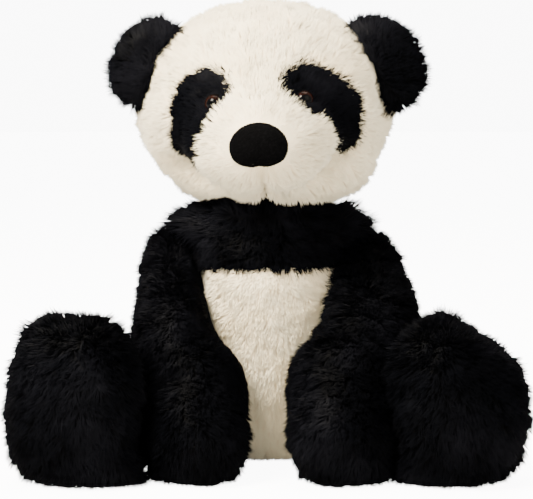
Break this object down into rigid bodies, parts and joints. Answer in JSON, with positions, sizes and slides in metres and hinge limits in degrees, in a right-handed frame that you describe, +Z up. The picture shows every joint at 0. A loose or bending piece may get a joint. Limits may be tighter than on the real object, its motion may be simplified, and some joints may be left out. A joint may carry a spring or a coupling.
{
  "type": "plush panda",
  "caption": "Seated stuffed toy panda of long pile fabric with soft fibre filling, safety eyes, a padded nose, and arms and legs that swing at sewn joints.",
  "frame": {"origin": "on the surface the toy sits on, at the middle of the flat seat", "axes": "+Z up; the toy faces -Y; +X points to the toy's own left"},
  "size_m": [0.2866, 0.2063, 0.2689],
  "materials": {
    "white_pile": "matte",
    "black_pile": "matte",
    "eye_plastic": "gloss",
    "washer_plastic": "matte",
    "nose_thread": "satin",
    "fibre_filling": "matte",
    "sewing_thread": "satin",
    "muslin": "matte",
    "label_satin": "satin"
  },
  "bodies": {
    "torso": {"yoke_skin": "black_pile", "belly_skin": "white_pile", "back_skin_left": "white_pile", "back_skin_right": "white_pile", "seat_skin": "white_pile", "torso_filling": "fibre_filling", "pellet_bag": "muslin", "tail": "white_pile", "care_label": "label_satin"},
    "neck": {"neck_stitching": "sewing_thread"},
    "head": {"face_skin": "white_pile", "muzzle_skin": "white_pile", "head_back_skin": "white_pile", "eye_patch_left": "black_pile", "eye_patch_right": "black_pile", "eye_left": "eye_plastic", "eye_right": "eye_plastic", "eye_washer_left": "washer_plastic", "eye_washer_right": "washer_plastic", "nose": "nose_thread", "head_filling": "fibre_filling"},
    "ear_left": {"ear_front_left": "black_pile", "ear_back_left": "black_pile", "ear_filling_left": "fibre_filling"},
    "ear_right": {"ear_front_right": "black_pile", "ear_back_right": "black_pile", "ear_filling_right": "fibre_filling"},
    "arm_left": {"arm_skin_left": "black_pile", "arm_filling_left": "fibre_filling"},
    "arm_right": {"arm_skin_right": "black_pile", "arm_filling_right": "fibre_filling"},
    "leg_left": {"leg_skin_left": "black_pile", "foot_sole_left": "black_pile", "leg_filling_left": "fibre_filling"},
    "leg_right": {"leg_skin_right": "black_pile", "foot_sole_right": "black_pile", "leg_filling_right": "fibre_filling"}
  },
  "joints": [
    {"name": "neck_turn", "type": "hinge", "parent": "torso", "child": "neck", "pos_m": [0, 0.005, 0.149], "axis": [0, 0, 1], "range_deg": [-25, 25], "stiffness_Nm_per_rad": 0.25},
    {"name": "neck_nod", "type": "hinge", "parent": "neck", "child": "head", "pos_m": [0, 0.005, 0.149], "axis": [-1, 0, 0], "range_deg": [-12, 12], "stiffness_Nm_per_rad": 0.6},
    {"name": "arm_swing_left", "type": "hinge", "parent": "torso", "child": "arm_left", "pos_m": [0.06, 0.004, 0.111], "axis": [-1, 0, 0], "range_deg": [0, 60], "stiffness_Nm_per_rad": 0.05},
    {"name": "arm_swing_right", "type": "hinge", "parent": "torso", "child": "arm_right", "pos_m": [-0.054, 0.004, 0.113], "axis": [-1, 0, 0], "range_deg": [0, 60], "stiffness_Nm_per_rad": 0.05},
    {"name": "leg_swing_left", "type": "hinge", "parent": "torso", "child": "leg_left", "pos_m": [0.045, 0.003, 0.023], "axis": [1, 0, 0], "range_deg": [0, 85], "stiffness_Nm_per_rad": 0.08},
    {"name": "leg_swing_right", "type": "hinge", "parent": "torso", "child": "leg_right", "pos_m": [-0.045, 0.003, 0.023], "axis": [1, 0, 0], "range_deg": [0, 85], "stiffness_Nm_per_rad": 0.08},
    {"name": "ear_fold_left", "type": "hinge", "parent": "head", "child": "ear_left", "pos_m": [0.0622, -0.0133, 0.2338], "axis": [0.5366, -0.0281, -0.8434], "range_deg": [-28, 28], "stiffness_Nm_per_rad": 0.02},
    {"name": "ear_fold_right", "type": "hinge", "parent": "head", "child": "ear_right", "pos_m": [-0.0675, -0.0065, 0.2281], "axis": [0.4611, -0.0242, 0.887], "range_deg": [-28, 28], "stiffness_Nm_per_rad": 0.02}
  ]
}
